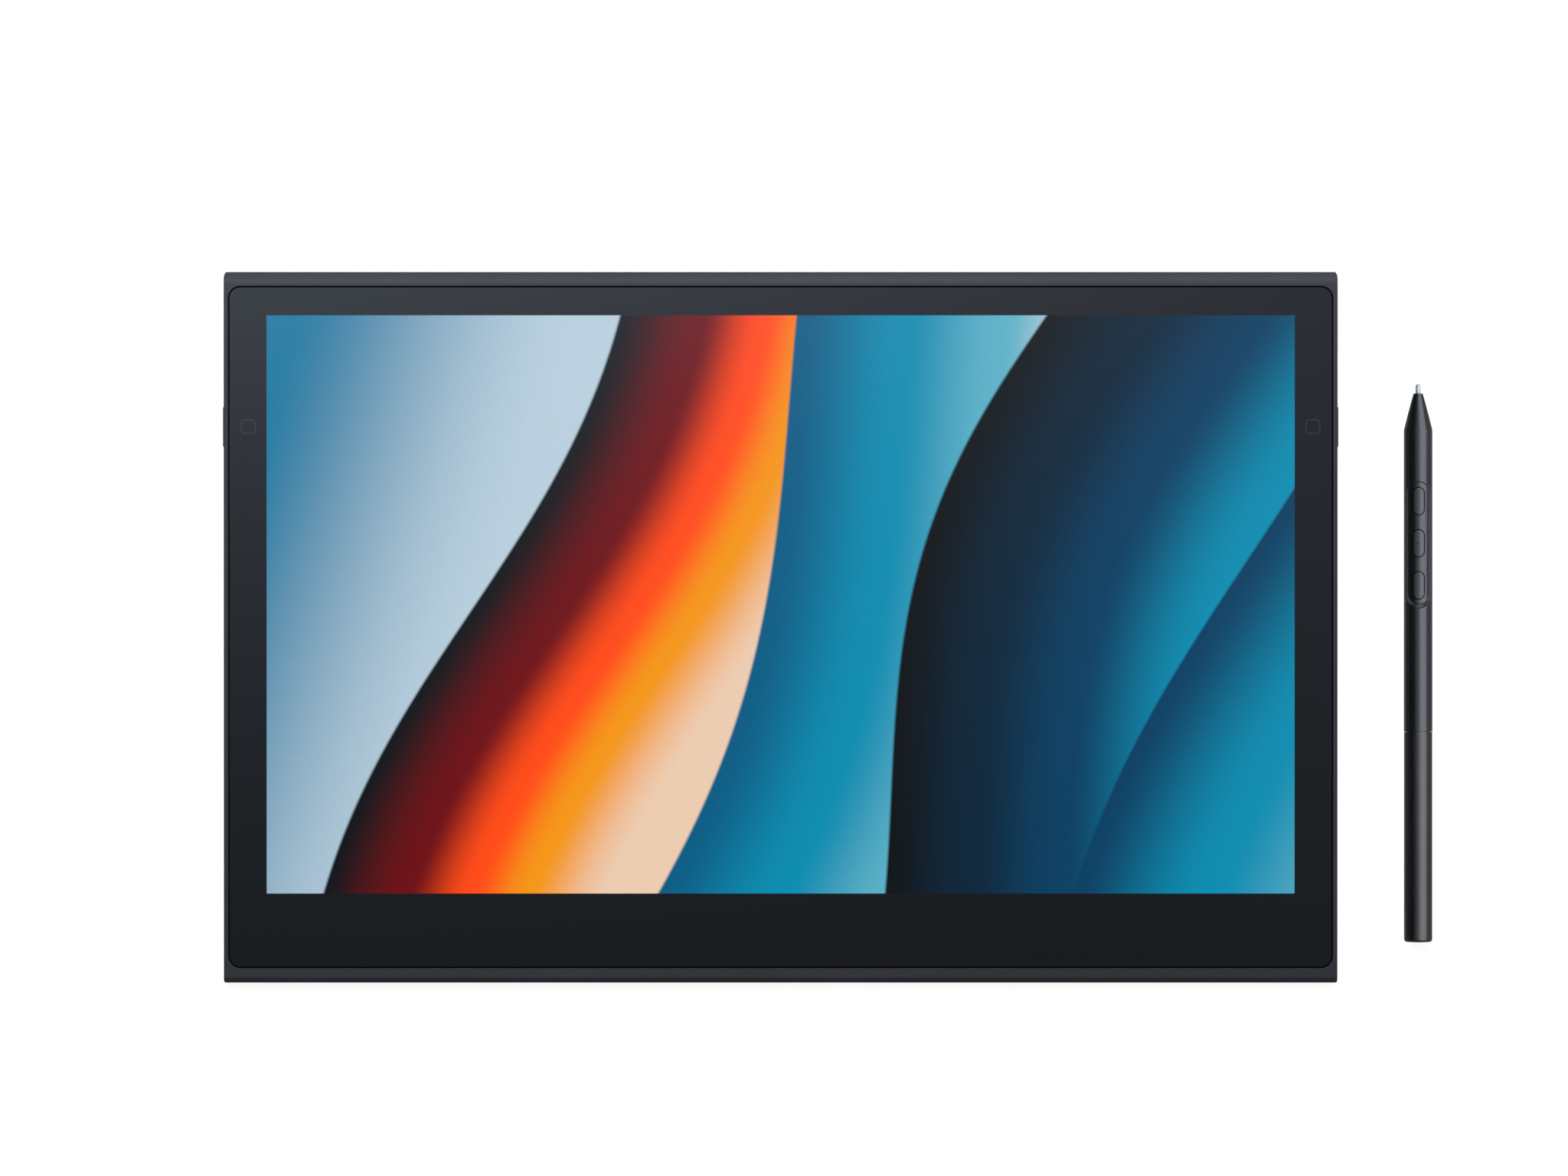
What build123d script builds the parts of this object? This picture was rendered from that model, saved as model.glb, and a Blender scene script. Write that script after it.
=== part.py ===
from build123d import *
import math
import os

# A slim pen display lying on its rubber feet, with its pen beside it. All sizes are in millimetres.
# The glass faces up, the far edge with the thick bar is at +Y, and Z is 0 on the table.
# The tablet is drawn with its glass front at level 0 and its inside below, then set down on its feet.

# Case
case_width = 319.0
case_depth = 203.65
case_wall = 0.8
side_rim = 1.25
far_rim = 4.05
near_rim = 4.2
bar_depth = 53.8
slope_depth = 28.0
near_front_radius = 1.8
near_rear_radius = 1.8
case_end_radius = 0.3
far_corner_across = 0.84
far_corner_along = 1.9
near_corner_radius = 0.7
rim_chamfer = 0.12
ledge_width = 2.5

# Cover glass and what is bonded behind it
glass_gap = 0.4
glass_thickness = 0.7
glass_corner_radius = 3.1
glass_chamfer = 0.08
side_border = 10.65
far_border = 8.0
near_border = 21.0
adhesive_thickness = 0.3
adhesive_inset = 0.6
bond_thickness = 0.1
bond_inset = 0.5
panel_thickness = 0.5
panel_side_margin = 2.5
panel_far_margin = 2.0
panel_near_margin = 5.0
digitizer_thickness = 0.4
shield_thickness = 0.2

# Frame between the screen and the electronics
web_thickness = 0.5
frame_clearance = 0.06
tray_clearance = 0.3
plate_cavity = 0.8

# Sockets in the two sides
port_width = 8.94
port_height = 3.16
port_depth = 7.3
port_wall = 0.3
port_recess = 0.2
port_clearance = 0.12
port_from_far = 16.0
tongue_width = 6.2
tongue_thickness = 0.7
tongue_base = 1.6
tongue_recess = 0.6
solder_tab_length = 1.6
solder_tab_reach = 1.4
solder_tab_thickness = 0.25

# Keys and power button in the sides
key_length = 11.4
key_height = 1.8
key_proud = 0.3
key_travel = 0.2
key_clearance = 0.1
key_flange_reach = 1.0
key_flange_thickness = 0.6
key_edge_radius = 0.15
key_from_far = 44.4
power_length = 6.0
power_from_far = 30.0
press_margin = 0.05
switch_length = 4.6
switch_depth = 1.7
switch_height = 1.6
plunger_length = 1.4
plunger_height = 0.8
plunger_depth = 0.5
light_pipe_radius = 0.5
light_pipe_clearance = 0.05
light_pipe_from_far = 23.8

# Touch keys under the glass, on the bezel beside the screen
pad_gap = 0.3
pad_length = 8.0
pad_thickness = 0.2
tail_width = 3.0
tail_clearance = 0.2

# Boards, flat cables and cooling
board_thickness = 0.8
board_strip_depth = 32.0
board_arm_width = 26.0
board_side_clearance = 1.65
board_end_clearance = 1.3
board_notch_clearance = 0.1
connector_length = 14.0
connector_depth = 3.0
connector_height = 0.9
connector_setback = 5.0
tail_connector_length = 2.0
tail_connector_depth = 4.0
flex_thickness = 0.15
flex_width = 16.0
flex_from_side = 39.5
digitizer_flex_width = 20.0
digitizer_flex_share = 0.353
film_side_margin = 49.7
slot_clearance = 0.1
driver_side_margin = 19.7
driver_depth = 7.5
driver_overlap = 0.5
driver_clearance = 0.3
spreader_thickness = 0.2
spreader_gap = 3.0
spreader_side_margin = 14.7
can_wall = 0.2
can_width = 60.0
can_depth = 20.0
can_offset = 15.0
chip_headroom = 0.1
thermal_pad_thickness = 0.3
thermal_pad_width = 30.0
thermal_pad_depth = 14.0

# Chips under the shield can: place along its width, place across its depth, side length over its depth
can_chips_share = [(-0.17, 0.0, 0.7), (0.2, 0.0, 0.45), (-0.36, -0.08, 0.3)]
# Other chips: place along the board's half width, place up its strip, side length over the strip's depth
board_chips_share = [(0.4, 0.55, 0.375), (-0.55, 0.5, 0.25), (0.87, 0.3, 0.16), (-0.87, 0.3, 0.16)]

# Screws
board_screw_radius = 0.7
board_screw_head_radius = 1.3
board_screw_head_height = 0.5
board_screw_from_middle = 20.0
board_screw_from_can = 0.9
board_boss_radius = 2.0
cover_screw_radius = 0.8
cover_screw_head_radius = 1.5
cover_screw_head_height = 0.6
cover_screw_head_recess = 0.7
cover_boss_radius = 2.6
frame_boss_radius = 2.2
frame_boss_height = 2.0
thread_clearance = 0.03
hole_clearance = 0.1
hole_end = 0.2
tip_gap = 0.1

# Rubber feet
foot_length = 60.0
foot_width = 7.0
foot_from_side = 54.5
foot_from_edge = 9.75
foot_proud = 1.0
foot_recess = 0.3
foot_clearance = 0.1
foot_chamfer = 0.25
foot_screw_spacing = 44.0

# Pen, measured along its axis from the nib tip
pen_spacing = 23.15
pen_tip_from_far = 32.05
pen_length = 160.0
pen_radius = 4.1
rear_barrel_inset = 0.05
barrel_wall = 0.7
barrel_seam_at = 99.6
seam_gap = 0.1
inner_clearance = 0.1
running_clearance = 0.05
tail_edge_radius = 0.9
tail_dome = 0.15
tail_wall = 2.5
cone_start = 2.75
cone_end = 13.2
cone_tip_radius = 1.35
cone_bulge = 0.06
cone_collar_length = 4.8
cone_collar_wall = 0.4
nib_radius = 0.775
nib_bore_clearance = 0.08
nib_length = 23.0
nib_travel = 0.3
nib_holder_length = 3.3
nib_holder_radius = 1.4
nib_holder_start = 20.2
ferrite_radius = 1.9
ferrite_bore_radius = 1.0
ferrite_start = 12.0
ferrite_length = 8.0
ferrite_seat_length = 1.6
coil_thickness = 0.85
coil_length = 5.2
coil_start = 14.0
sensor_length = 3.3
sensor_radius = 2.5
cup_floor = 0.6

# Pen button panel and its three buttons
panel_start = 28.0
capsule_length = 36.3
capsule_width = 6.25
capsule_floor = 2.4
capsule_gap = 0.14
capsule_edge_radius = 0.15
crescent_depth = 1.2
panel_sink = 0.05
button_length = 8.2
button_width = 3.54
button_gap = 0.24
button_front_margin = 1.5
button_rear_margin = 1.3
button_count = 3
button_proud = 0.2
button_travel = 0.2
button_edge_radius = 0.12
button_flange_reach = 0.45
button_flange_thickness = 0.3
button_stub_width = 1.5
counterbore_depth = 0.5
counterbore_clearance = 0.15
dot_radius = 0.4
dot_height = 0.18
dome_radius = 1.6

# Pen inside
pen_board_width = 4.8
pen_board_thickness = 0.8
pen_board_floor = 0.9
pen_board_length = 62.1
chassis_stop_length = 1.4
chassis_wall = 1.1
chassis_block_length = 3.0
coupling_start = 92.0
coupling_end = 106.0
coupling_wall = 0.95
coupling_floor = 1.0
nib_store_length = 22.0
nib_store_clearance = 0.2
nib_store_bore_depth = 15.0
spare_nib_length = 16.0
spare_nib_circle_radius = 1.75
spare_nib_clearance = 0.07
spare_nib_count = 3

# One overrun for every cut that passes a face
overrun = 1.0

# Plan of the tablet, from the sizes above
case_far = case_depth / 2
case_side = case_width / 2
glass_width = case_width - 2 * (side_rim + glass_gap)
glass_far = case_far - far_rim - glass_gap
glass_near = -case_far + near_rim + glass_gap
glass_depth = glass_far - glass_near
glass_y = (glass_far + glass_near) / 2
pocket_width = glass_width + 2 * glass_gap
pocket_depth = glass_depth + 2 * glass_gap
pocket_side = pocket_width / 2
pocket_far = glass_far + glass_gap
pocket_near = glass_near - glass_gap
screen_width = glass_width - 2 * side_border
screen_far = glass_far - far_border
screen_near = glass_near + near_border
display_width = screen_width + 2 * panel_side_margin
display_far = screen_far + panel_far_margin
display_near = screen_near - panel_near_margin
display_depth = display_far - display_near
display_y = (display_far + display_near) / 2

# Levels of the stack, downwards from the glass front at 0
glass_rear = -glass_thickness
flange_front = glass_rear - adhesive_thickness
panel_front = glass_rear - bond_thickness
panel_rear = panel_front - panel_thickness
digitizer_rear = panel_rear - digitizer_thickness
web_front = digitizer_rear - shield_thickness
web_rear = web_front - web_thickness
plate_floor = web_rear - plate_cavity
plate_rear = plate_floor - case_wall
bar_cavity = port_height + 2 * port_clearance
bar_floor = web_rear - bar_cavity
bar_rear = bar_floor - case_wall
port_level = web_rear - bar_cavity / 2
board_front = port_level + board_thickness / 2
board_rear = port_level - board_thickness / 2
connector_top = board_front + connector_height
can_rear = bar_floor + thermal_pad_thickness
chip_height = board_rear - can_rear - can_wall - chip_headroom

# Places in the plan
bar_near = case_far - bar_depth
cavity_near = bar_near + case_wall
cavity_far = pocket_far - ledge_width
board_side = pocket_side - board_side_clearance
board_far = cavity_far - board_end_clearance
board_near = board_far - board_strip_depth
board_arm_near = cavity_near + board_end_clearance
port_y = case_far - port_from_far
key_y = case_far - key_from_far
power_y = case_far - power_from_far
light_pipe_y = case_far - light_pipe_from_far
pad_x = glass_width / 2 - side_border / 2
pad_width = side_border - 2 * (panel_side_margin + pad_gap)
film_width = display_width - 2 * film_side_margin
driver_width = display_width - 2 * driver_side_margin
driver_far = display_near + driver_overlap
flex_x = case_side - flex_from_side
flex_connector_y = board_near + connector_setback
foot_x = case_side - foot_from_side
screw_spacing = foot_x - board_screw_from_middle
digitizer_flex_x = -board_screw_from_middle - digitizer_flex_share * screw_spacing
digitizer_flex_y = display_far + flex_thickness / 2
foot_far_y = case_far - foot_from_edge
foot_near_y = -case_far + foot_from_edge

# How the tablet leans: its feet are equally high, and the bar is thicker than the plate
foot_span = foot_far_y - foot_near_y
lean = math.degrees(math.atan((plate_rear - bar_rear) / foot_span))
near_foot_level = plate_rear - foot_proud
rise = -foot_near_y * math.sin(math.radians(lean)) - near_foot_level * math.cos(math.radians(lean))
tablet_x = -(pen_spacing + pen_radius - key_proud) / 2
tablet_place = Pos(tablet_x, 0, rise) * Rot(lean, 0, 0)
pen_x = tablet_x + case_side + pen_spacing
pen_tip_y = case_far - pen_tip_from_far
pen_place = Location(Plane(origin=(pen_x, pen_tip_y, pen_radius), x_dir=(1, 0, 0), z_dir=(0, -1, 0)))


def slab(width, depth, front, rear, x=0, y=0):
    """A box between two levels, centred on a place in the plan."""
    return Pos(x, y, (front + rear) / 2) * Box(width, depth, front - rear)


def rounded_slab(width, depth, radius, front, rear, y=0):
    """A slab with rounded corners in plan."""
    return Pos(0, y, rear) * extrude(RectangleRounded(width, depth, radius), front - rear)


def pin(radius, front, rear, x, y):
    """An upright round solid between two levels."""
    return Pos(x, y, (front + rear) / 2) * Cylinder(radius, front - rear)


def both_sides(solid):
    """A right-hand solid and its mirror image on the left."""
    return Compound([solid, mirror(solid, about=Plane.YZ)])


def side_capsule(length, height, inner, outer, y):
    """A round-ended bar that lies across the right-hand side wall, from one x to another."""
    face = Plane(origin=(inner, y, port_level), x_dir=(0, 1, 0), z_dir=(1, 0, 0))
    return extrude(face * SlotOverall(length, height), outer - inner)


def can_centre():
    """Middle of the shield can in plan."""
    return -can_offset, (board_far + board_near) / 2


def board_screw_places():
    """Where the board's screws sit: beside the shield can, and in line with the middles of the feet."""
    middle_y = can_centre()[1]
    reach = can_depth / 2 + board_screw_from_can + board_screw_head_radius
    places = []
    for x in (-foot_x, -board_screw_from_middle, board_screw_from_middle, foot_x):
        for y in (middle_y - reach, middle_y + reach):
            places.append((x, y))
    return places


def cover_screw_places(foot_y):
    """Where the two screws under each foot of a pair sit."""
    places = []
    for side in (-1, 1):
        for step in (-1, 1):
            places.append((side * foot_x + step * foot_screw_spacing / 2, foot_y))
    return places


def case_outline():
    """Section of the case across its depth: bullnose far edge, bar, slope, plate, rounded near edge."""
    bull = -bar_rear / 2
    slope_near = bar_near - slope_depth
    slope_middle = (bar_near + slope_near) / 2
    near_turn = JernArc((-case_far + near_front_radius, 0), (-1, 0), near_front_radius, 90)
    near_rise = Line(near_turn @ 1, (-case_far, plate_rear + near_rear_radius))
    rear_turn = JernArc(near_rise @ 1, (0, -1), near_rear_radius, 90)
    plate_line = Line(rear_turn @ 1, (slope_near, plate_rear))
    slope = Bezier(
        plate_line @ 1,
        (slope_middle, plate_rear),
        (slope_middle, bar_rear),
        (bar_near, bar_rear),
    )
    bar_line = Line(slope @ 1, (case_far - bull, bar_rear))
    bullnose = JernArc(bar_line @ 1, (1, 0), bull, 180)
    front_line = Line(bullnose @ 1, near_turn @ 0)
    edges = [near_turn, near_rise, rear_turn, plate_line, slope, bar_line, bullnose, front_line]
    return Plane.YZ * make_face(edges)


def case_plan():
    """Plan of the case: elliptical far corners and small round near corners."""
    across = far_corner_across
    along = far_corner_along
    near = near_corner_radius
    right = EllipticalCenterArc(
        (case_side - across, case_far - along), across, along, 0, arc_size=90
    )
    left = EllipticalCenterArc(
        (across - case_side, case_far - along), across, along, 90, arc_size=90
    )
    near_left = CenterArc((near - case_side, near - case_far), near, 180, 90)
    near_right = CenterArc((case_side - near, near - case_far), near, 270, 90)
    turns = [right, left, near_left, near_right]
    sides = [Line(turn @ 1, after @ 0) for turn, after in zip(turns, turns[1:] + turns[:1])]
    return make_face([*turns, *sides])


def case_blank():
    """The case before it is hollowed, with rounded ends and corners."""
    blank = extrude(case_outline(), case_side, both=True)
    ends = blank.faces().sort_by(Axis.X)
    blank = fillet(ends[0].edges() + ends[-1].edges(), case_end_radius)
    height = overrun - bar_rear + overrun
    return blank & Pos(0, 0, bar_rear - overrun) * extrude(case_plan(), height)


def rear_cover():
    """Machined metal shell: sides, rim and rear wall in one piece."""
    pocket_radius = glass_corner_radius + glass_gap
    cover = case_blank() - rounded_slab(
        pocket_width, pocket_depth, pocket_radius, overrun, web_rear, glass_y
    )
    rim = cover.faces().filter_by(Axis.Z).sort_by(Axis.Z)[-1]
    cover = chamfer(rim.inner_wires()[0].edges(), rim_chamfer)
    bar_middle = (cavity_far + cavity_near) / 2
    cover -= slab(pocket_width, cavity_far - cavity_near, web_rear, bar_floor, 0, bar_middle)
    plate_near = pocket_near + ledge_width
    plate_far = cavity_near + overrun
    plate_middle = (plate_far + plate_near) / 2
    cover -= slab(
        pocket_width - 2 * ledge_width, plate_far - plate_near, web_rear, plate_floor, 0, plate_middle
    )
    for foot_y, floor, rear, boss_top in (
        (foot_far_y, bar_floor, bar_rear, web_rear - frame_boss_height),
        (foot_near_y, plate_floor, plate_rear, web_rear),
    ):
        recess_floor = rear + foot_recess
        for x, y in cover_screw_places(foot_y):
            cover += pin(cover_boss_radius, boss_top, floor, x, y)
        for side in (-1, 1):
            recess = SlotOverall(foot_length + 2 * foot_clearance, foot_width + 2 * foot_clearance)
            cover -= Pos(side * foot_x, foot_y, recess_floor) * extrude(recess, -foot_recess - overrun)
        for x, y in cover_screw_places(foot_y):
            head_seat = recess_floor + cover_screw_head_recess
            cover -= pin(cover_screw_head_radius + hole_clearance, head_seat, rear, x, y)
            cover -= pin(cover_screw_radius + hole_clearance, boss_top, rear, x, y)
    return cover - side_wall_cuts()


def side_wall_cuts():
    """Openings in the side walls: a socket and a key on each side, power button and light on the right."""
    inner = pocket_side - overrun
    outer = case_side + overrun
    port_hole_width = port_width + 2 * board_notch_clearance
    port_hole_height = port_height + 2 * board_notch_clearance
    port = side_capsule(port_hole_width, port_hole_height, inner, outer, port_y)
    key = side_capsule(key_length + 2 * key_clearance, key_height + 2 * key_clearance, inner, outer, key_y)
    power = side_capsule(
        power_length + 2 * key_clearance, key_height + 2 * key_clearance, inner, outer, power_y
    )
    hole = Plane(origin=(inner, light_pipe_y, port_level), x_dir=(0, 1, 0), z_dir=(1, 0, 0))
    light_hole = extrude(hole * Circle(light_pipe_radius + light_pipe_clearance), outer - inner)
    return Compound([*both_sides(port).solids(), *both_sides(key).solids(), power, light_hole])


def cover_glass():
    """Etched cover glass with a small chamfer round its front."""
    glass = rounded_slab(glass_width, glass_depth, glass_corner_radius, 0, glass_rear, glass_y)
    return chamfer(glass.faces().sort_by(Axis.Z)[-1].edges(), glass_chamfer)


def pad_window(margin, front, rear):
    """Space round both touch-key pads, with a margin."""
    window = slab(pad_width + 2 * margin, pad_length + 2 * margin, front, rear, pad_x, key_y)
    return both_sides(window)


def glass_adhesive():
    """Adhesive frame that holds the glass to the frame, open at the touch keys."""
    outer = rounded_slab(
        glass_width - 2 * adhesive_inset,
        glass_depth - 2 * adhesive_inset,
        glass_corner_radius - adhesive_inset,
        glass_rear,
        flange_front,
        glass_y,
    )
    inner_width = display_width + 2 * (tray_clearance + adhesive_inset)
    inner_depth = display_depth + 2 * (tray_clearance + adhesive_inset)
    frame = outer - slab(inner_width, inner_depth, overrun, flange_front - overrun, 0, display_y)
    return frame - pad_window(tail_clearance, overrun, flange_front - overrun)


def optical_bond():
    """Clear adhesive between the glass and the display."""
    return slab(
        display_width - 2 * bond_inset,
        display_depth - 2 * bond_inset,
        glass_rear,
        panel_front,
        0,
        display_y,
    )


def display_layer(front, rear):
    """A sheet as large as the display module."""
    return slab(display_width, display_depth, front, rear, 0, display_y)


def flex_slot(width, edge_y, outward):
    """Slot through the web for a flat cable that turns down at an edge of the display."""
    depth = tray_clearance + slot_clearance
    middle = edge_y + outward * (tray_clearance - slot_clearance) / 2
    return width + 2 * slot_clearance, depth, middle


def mid_frame():
    """Cast frame: a flange round the display, a thin web behind it, and bosses for board and cover."""
    frame_radius = glass_corner_radius + glass_gap - frame_clearance
    frame = rounded_slab(
        pocket_width - 2 * frame_clearance,
        pocket_depth - 2 * frame_clearance,
        frame_radius,
        flange_front,
        web_rear,
        glass_y,
    )
    tray_width = display_width + 2 * tray_clearance
    tray_depth = display_depth + 2 * tray_clearance
    frame -= slab(tray_width, tray_depth, overrun, web_front, 0, display_y)
    for x, y in board_screw_places():
        frame += pin(board_boss_radius, web_rear, board_front, x, y)
    for x, y in cover_screw_places(foot_far_y):
        frame += pin(frame_boss_radius, web_rear, web_rear - frame_boss_height, x, y)
    below = web_rear - overrun
    film_slot = flex_slot(film_width, display_near, -1)
    frame -= slab(film_slot[0], film_slot[1], web_front + overrun, below, 0, film_slot[2])
    sensor_slot = flex_slot(digitizer_flex_width, display_far, 1)
    frame -= slab(
        sensor_slot[0], sensor_slot[1], web_front + overrun, below, digitizer_flex_x, sensor_slot[2]
    )
    tail_slot = slab(
        flex_thickness + 2 * tail_clearance,
        tail_width + 2 * tail_clearance,
        flange_front + overrun,
        below,
        pad_x,
        key_y,
    )
    frame -= both_sides(tail_slot)
    for x, y in board_screw_places():
        frame -= pin(board_screw_radius + thread_clearance, web_rear - hole_end, board_front, x, y)
    for foot_y, top, rear in (
        (foot_far_y, web_rear - hole_end, web_rear - frame_boss_height),
        (foot_near_y, flange_front - hole_end, web_rear),
    ):
        for x, y in cover_screw_places(foot_y):
            frame -= pin(cover_screw_radius + thread_clearance, top, rear, x, y)
    return frame


def panel_film():
    """Film that carries the display's signals down past its near edge to the driver board."""
    y = display_near - flex_thickness / 2
    return slab(film_width, flex_thickness, panel_front, web_rear, 0, y)


def panel_driver_board():
    """Narrow board behind the bottom bezel that drives the display."""
    rear = plate_floor + driver_clearance
    return slab(driver_width, driver_depth, web_rear, rear, 0, driver_far - driver_depth / 2)


def display_flex():
    """Flat cable from the driver board up the back of the web to a plug on the main board."""
    far = flex_connector_y + connector_depth / 2
    rear = web_rear - flex_thickness
    strip = slab(flex_width, far - driver_far, web_rear, rear, flex_x, (far + driver_far) / 2)
    return strip + slab(
        connector_length, connector_depth, rear, connector_top, flex_x, flex_connector_y
    )


def digitizer_flex():
    """Flat cable from the pen sensor's far edge down to its connector."""
    return slab(
        digitizer_flex_width,
        flex_thickness,
        panel_rear,
        connector_top,
        digitizer_flex_x,
        digitizer_flex_y,
    )


def touch_key_pads():
    """Two sensing pads stuck behind the glass, each with a tail down to the main board."""
    rear = glass_rear - pad_thickness
    pad = slab(pad_width, pad_length, glass_rear, rear, pad_x, key_y)
    pad += slab(flex_thickness, tail_width, rear, connector_top, pad_x, key_y)
    return both_sides(pad)


def heat_spreader():
    """Graphite sheet on the back of the web, beside the display cable."""
    left = spreader_side_margin - display_width / 2
    right = flex_x - flex_width / 2 - spreader_gap
    near = driver_far + spreader_gap
    far = bar_near - spreader_gap
    return slab(
        right - left,
        far - near,
        web_rear,
        web_rear - spreader_thickness,
        (right + left) / 2,
        (far + near) / 2,
    )


def switch_places():
    """The side switches: one behind each key, one behind the power button."""
    return [(key_y, 1), (key_y, -1), (power_y, 1)]


def switch_face():
    """Where a switch's plunger ends, just past the travel of the key in front of it."""
    return pocket_side - key_clearance - key_flange_thickness - key_travel - press_margin


def main_board():
    """Main board across the bar: a strip with two arms that reach the side keys."""
    board = slab(
        2 * board_side, board_strip_depth, board_front, board_rear, 0, (board_far + board_near) / 2
    )
    arm_x = board_side - board_arm_width / 2
    arm_depth = board_near - board_arm_near + overrun
    arm = slab(
        board_arm_width, arm_depth, board_front, board_rear, arm_x, board_arm_near + arm_depth / 2
    )
    board += both_sides(arm)
    above = board_front + overrun
    below = board_rear - overrun
    port_inner = case_side - port_recess - port_depth - board_notch_clearance
    port_notch = board_side + overrun - port_inner
    notch_width = port_width + 2 * board_notch_clearance
    board -= both_sides(slab(port_notch, notch_width, above, below, port_inner + port_notch / 2, port_y))
    switch_inner = switch_face() - plunger_depth - switch_depth - board_notch_clearance
    switch_notch = board_side + overrun - switch_inner
    for y, side in switch_places():
        x = side * (switch_inner + switch_notch / 2)
        board -= slab(switch_notch, switch_length + 2 * board_notch_clearance, above, below, x, y)
    boss_width = 2 * (cover_boss_radius + board_end_clearance)
    for x, y in cover_screw_places(foot_far_y):
        board -= slab(boss_width, boss_width, above, below, x, y)
    for x, y in board_screw_places():
        board -= pin(board_screw_radius + hole_clearance, above, below, x, y)
    return board


def board_chips():
    """Chips on the rear face of the board, three of them under the shield can."""
    can_x, can_y = can_centre()
    rear = board_rear - chip_height
    chips = []
    for along, across, side in can_chips_share:
        length = side * can_depth
        chips.append(
            slab(length, length, board_rear, rear, can_x + along * can_width, can_y + across * can_depth)
        )
    for along, up, side in board_chips_share:
        length = side * board_strip_depth
        x = along * board_side
        chips.append(slab(length, length, board_rear, rear, x, board_near + up * board_strip_depth))
    return Compound(chips)


def board_connectors():
    """Connectors on the front face of the board, one for each flat cable and tail."""
    display = slab(
        connector_length, connector_depth, connector_top, board_front, flex_x, flex_connector_y
    )
    sensor = slab(
        digitizer_flex_width,
        connector_depth / 2,
        connector_top,
        board_front,
        digitizer_flex_x,
        digitizer_flex_y,
    )
    tail = slab(
        tail_connector_length, tail_connector_depth, connector_top, board_front, pad_x, key_y
    )
    return Compound([display, sensor, *both_sides(tail).solids()])


def shield_can():
    """Stamped lid over the main chips, open towards the board."""
    can = slab(can_width, can_depth, board_rear, can_rear, *can_centre())
    inner_width = can_width - 2 * can_wall
    inner_depth = can_depth - 2 * can_wall
    return can - slab(inner_width, inner_depth, board_rear, can_rear + can_wall, *can_centre())


def thermal_pad():
    """Soft pad that carries heat from the shield can into the rear wall."""
    return slab(thermal_pad_width, thermal_pad_depth, can_rear, bar_floor, *can_centre())


def board_screws():
    """Screws that hold the board to the frame's bosses."""
    screws = []
    for x, y in board_screw_places():
        head = pin(board_screw_head_radius, board_rear, board_rear - board_screw_head_height, x, y)
        shank_tip = web_rear - hole_end - tip_gap
        screws.append(head + pin(board_screw_radius, shank_tip, board_rear, x, y))
    return Compound(screws)


def cover_screws():
    """Screws under the feet that hold the rear cover to the frame."""
    screws = []
    for foot_y, rear, hole_top in (
        (foot_far_y, bar_rear, web_rear - hole_end),
        (foot_near_y, plate_rear, flange_front - hole_end),
    ):
        seat = rear + foot_recess + cover_screw_head_recess
        for x, y in cover_screw_places(foot_y):
            head = pin(cover_screw_head_radius, seat, seat - cover_screw_head_height, x, y)
            screws.append(head + pin(cover_screw_radius, hole_top - tip_gap, seat, x, y))
    return Compound(screws)


def solder_tabs(half_length, inner):
    """Two tabs that carry a side part on the board's front face."""
    top = board_front + solder_tab_thickness
    x = inner + solder_tab_length / 2
    tabs = []
    for side in (-1, 1):
        y = side * (half_length + solder_tab_reach / 2)
        tabs.append(slab(solder_tab_length, solder_tab_reach, top, board_front, x, y))
    return tabs


def usb_port():
    """Pressed shell of the right-hand socket with the tabs that it is soldered by."""
    outer = case_side - port_recess
    inner = outer - port_depth
    shell = side_capsule(port_width, port_height, inner, outer, port_y)
    hollow_width = port_width - 2 * port_wall
    hollow_height = port_height - 2 * port_wall
    shell -= side_capsule(hollow_width, hollow_height, inner - overrun, outer + overrun, port_y)
    for tab in solder_tabs(port_width / 2 - port_wall, inner):
        shell += Pos(0, port_y, 0) * tab
    return shell


def usb_tongue():
    """Moulded insulator of the right-hand socket: a base across the back and the tongue."""
    outer = case_side - port_recess
    inner = outer - port_depth
    hollow_width = port_width - 2 * port_wall
    hollow_height = port_height - 2 * port_wall
    base = side_capsule(hollow_width, hollow_height, inner, inner + tongue_base, port_y)
    tongue_end = outer - tongue_recess
    tongue_x = (inner + tongue_end) / 2
    front = port_level + tongue_thickness / 2
    rear = port_level - tongue_thickness / 2
    return base + slab(tongue_end - inner, tongue_width, front, rear, tongue_x, port_y)


def side_button(length, proud, y):
    """A right-hand button: a capsule through the wall with a flange behind the wall."""
    flange_outer = pocket_side - key_clearance
    flange_inner = flange_outer - key_flange_thickness
    cap = side_capsule(length, key_height, flange_outer, case_side + proud, y)
    cap = fillet(cap.faces().sort_by(Axis.X)[-1].edges(), key_edge_radius)
    front = port_level + key_height / 2
    rear = port_level - key_height / 2
    flange_x = (flange_inner + flange_outer) / 2
    flange = slab(key_flange_thickness, length + 2 * key_flange_reach, front, rear, flange_x, y)
    return cap + flange


def side_switches():
    """Edge switches on the board behind the keys and the power button."""
    switches = []
    for y, side in switch_places():
        plunger_x = switch_face() - plunger_depth / 2
        body_x = switch_face() - plunger_depth - switch_depth / 2
        front = port_level + switch_height / 2
        rear = port_level - switch_height / 2
        switch = slab(switch_depth, switch_length, front, rear, body_x, y)
        plunger_front = port_level + plunger_height / 2
        plunger_rear = port_level - plunger_height / 2
        switch += slab(plunger_depth, plunger_length, plunger_front, plunger_rear, plunger_x, y)
        for tab in solder_tabs(switch_length / 2, body_x - switch_depth / 2):
            switch += Pos(0, y, 0) * tab
        switches.append(switch if side > 0 else mirror(switch, about=Plane.YZ))
    return Compound(switches)


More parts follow.
